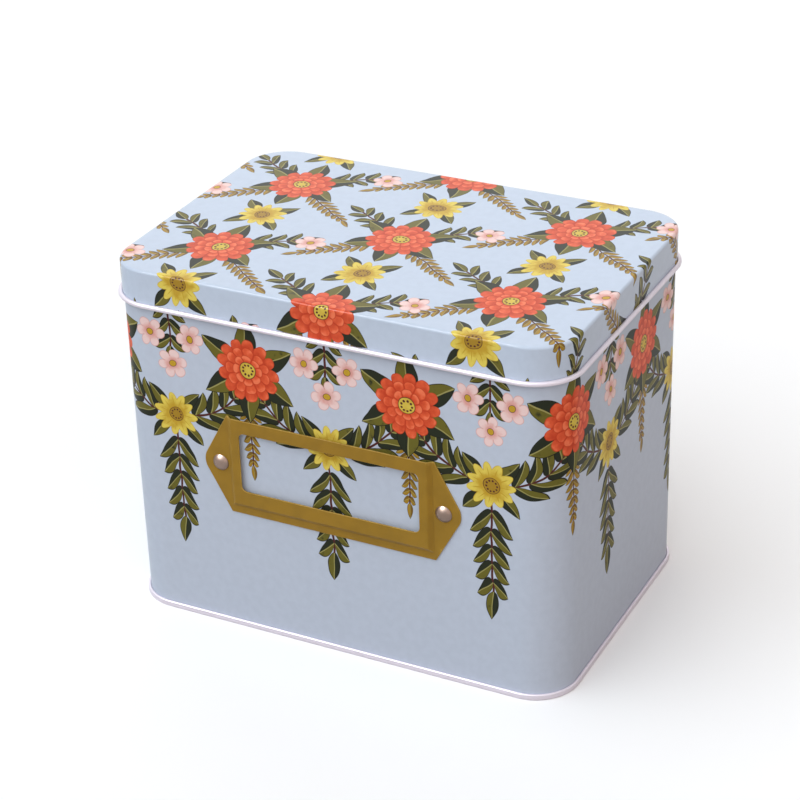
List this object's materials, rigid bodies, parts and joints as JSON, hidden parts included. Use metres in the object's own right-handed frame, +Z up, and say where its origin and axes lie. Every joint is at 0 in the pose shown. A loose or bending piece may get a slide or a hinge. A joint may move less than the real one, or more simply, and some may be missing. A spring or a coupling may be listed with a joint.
{
  "type": "hinged tin box",
  "caption": "Rounded rectangular tinplate box for cards and keepsakes, with a beaded lid that swings on a rear wire hinge and a riveted label frame on the front.",
  "frame": {"origin": "centre of the footprint, on the surface that the box stands on", "axes": "+Z up, +X to the right seen from the front, the label faces -Y"},
  "size_m": [0.164, 0.1134, 0.1275],
  "materials": {
    "printed_tinplate": "semi-gloss lacquer over a printed floral on pale blue",
    "seam_lacquer": "semi-gloss pale pinkish white lacquer",
    "bare_steel": "satin tinned steel",
    "gold_lacquer": "satin mustard gold lacquer",
    "bright_nickel": "nickel plate, lightly dulled"
  },
  "bodies": {
    "box": {"body_shell": "printed_tinplate", "base_pan": "seam_lacquer", "label_frame": "gold_lacquer", "label_rivet_left": "bright_nickel", "label_rivet_right": "bright_nickel", "hinge_strap_left": "bare_steel", "hinge_strap_right": "bare_steel", "hinge_rivet_left_left": "bare_steel", "hinge_rivet_left_right": "bare_steel", "hinge_rivet_right_left": "bare_steel", "hinge_rivet_right_right": "bare_steel"},
    "lid": {"lid_shell": "printed_tinplate", "hinge_wire": "bare_steel"}
  },
  "joints": [
    {"name": "lid_hinge", "type": "hinge", "parent": "box", "child": "lid", "pos_m": [0, 0.05535, 0.1154], "axis": [-1, 0, 0], "range_deg": [0, 105]}
  ]
}
